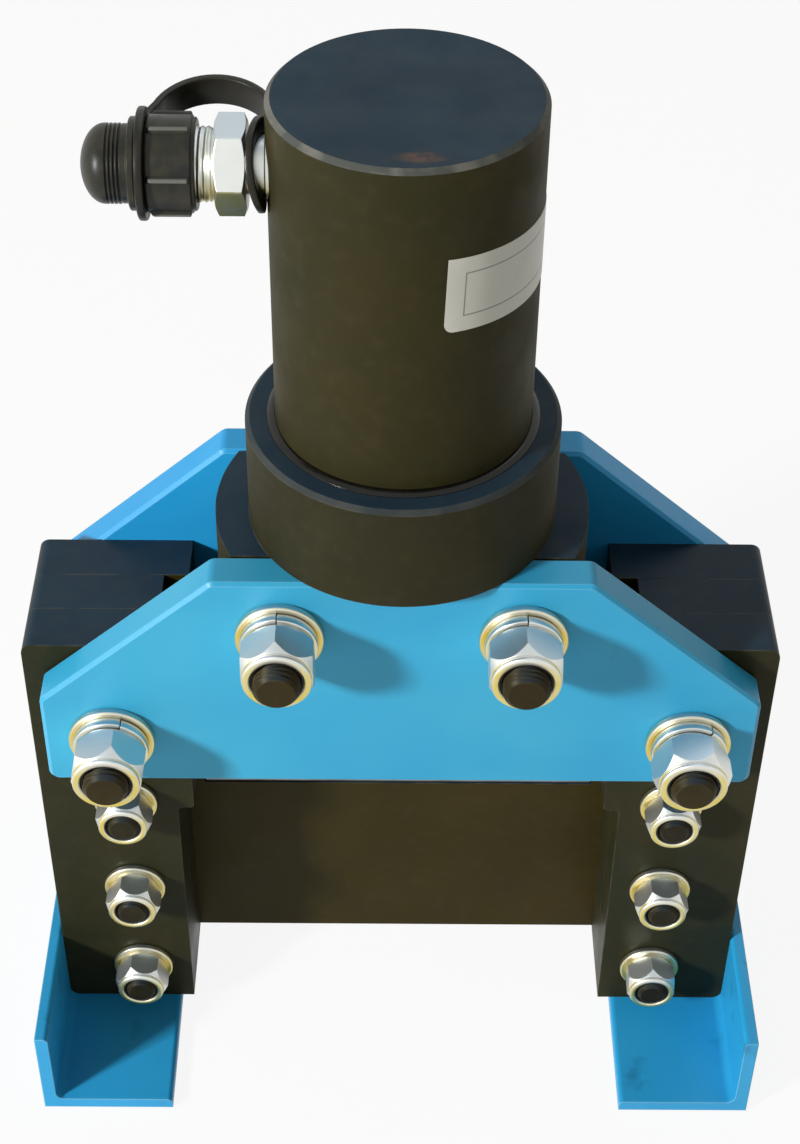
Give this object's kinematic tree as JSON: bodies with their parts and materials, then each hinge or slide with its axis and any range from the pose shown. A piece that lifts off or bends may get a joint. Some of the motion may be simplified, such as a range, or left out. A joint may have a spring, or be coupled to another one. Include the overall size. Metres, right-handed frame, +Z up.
{
  "type": "busbar processing machine",
  "caption": "Hydraulic busbar cutting head: black cylinder on a bolted frame with blue side plates, a guillotine blade and a quick coupler with dust cap.",
  "frame": {"origin": "on the ground under the cylinder axis, midway between the feet", "axes": "+Z up along the cylinder, +X to the right seen from the nut side, -Y towards the nut side (front)"},
  "size_m": [0.274, 0.157, 0.4],
  "materials": {
    "black_oxide_steel": "oiled black oxide over milled steel",
    "blue_paint": "satin spray enamel",
    "zinc_plate": "bright zinc with a yellow passivation tint",
    "black_bolt_steel": "black oxide",
    "blade_steel": "ground tool steel",
    "machined_steel": "machined and oiled",
    "hard_chrome": "polished hard chrome",
    "bronze": "turned bronze",
    "seal_rubber": "moulded nitrile rubber",
    "spring_steel": "oil tempered wire",
    "cap_plastic": "moulded black nylon",
    "strap_plastic": "flexible black plastic"
  },
  "bodies": {
    "frame": {"front_leg_left": "black_oxide_steel", "front_leg_right": "black_oxide_steel", "guide_spacer_left": "black_oxide_steel", "guide_spacer_right": "black_oxide_steel", "rear_frame": "black_oxide_steel", "cylinder_base": "black_oxide_steel", "cylinder_barrel": "black_oxide_steel", "lower_blade": "blade_steel", "rod_seal": "seal_rubber", "rod_wiper": "seal_rubber", "base_seal": "seal_rubber", "rod_bush": "bronze", "return_spring": "spring_steel", "front_side_plate": "blue_paint", "rear_side_plate": "blue_paint", "foot_left": "blue_paint", "foot_right": "blue_paint", "foot_screws": "black_bolt_steel", "lower_blade_screws": "black_bolt_steel", "large_bolts": "black_bolt_steel", "small_bolts": "black_bolt_steel", "large_rear_washers": "zinc_plate", "large_front_washers": "zinc_plate", "large_spring_washers": "zinc_plate", "large_lock_nuts": "zinc_plate", "small_rear_washers": "zinc_plate", "small_front_washers": "zinc_plate", "small_lock_nuts": "zinc_plate", "coupler_adaptor": "zinc_plate", "coupler_body": "zinc_plate", "cap_strap": "strap_plastic"},
    "ram": {"piston": "machined_steel", "piston_seal": "seal_rubber", "piston_guide_ring": "bronze", "piston_nut": "machined_steel", "piston_rod": "hard_chrome", "fork_pin": "machined_steel", "blade_holder": "machined_steel", "upper_blade": "blade_steel", "upper_blade_screws": "black_bolt_steel"},
    "strap_end": {"cap_strap_ring": "strap_plastic"},
    "dust_cap": {"dust_cap": "cap_plastic"},
    "coupler_valve": {"coupler_valve": "machined_steel", "coupler_valve_spring": "spring_steel"}
  },
  "joints": [
    {"name": "ram_slide", "type": "slide", "parent": "frame", "child": "ram", "axis": [0, 0, -1], "range_m": [0, 0.024], "stiffness_N_per_m": 6000, "springref_m": -0.03, "deforming": ["return_spring"]},
    {"name": "strap_end_slide", "type": "slide", "parent": "frame", "child": "strap_end", "axis": [-1, 0, 0], "range_m": [0, 0.0091]},
    {"name": "dust_cap_turn", "type": "hinge", "parent": "strap_end", "child": "dust_cap", "pos_m": [-0.0796, 0, 0.376], "axis": [-1, 0, 0], "range_deg": [0, 1620]},
    {"name": "coupler_valve_slide", "type": "slide", "parent": "frame", "child": "coupler_valve", "axis": [1, 0, 0], "range_m": [0, 0.003], "stiffness_N_per_m": 800, "springref_m": -0.003}
  ],
  "couplings": [
    {"joint": "strap_end_slide", "follows": "dust_cap_turn", "m_per_rad": 0.0003183}
  ]
}
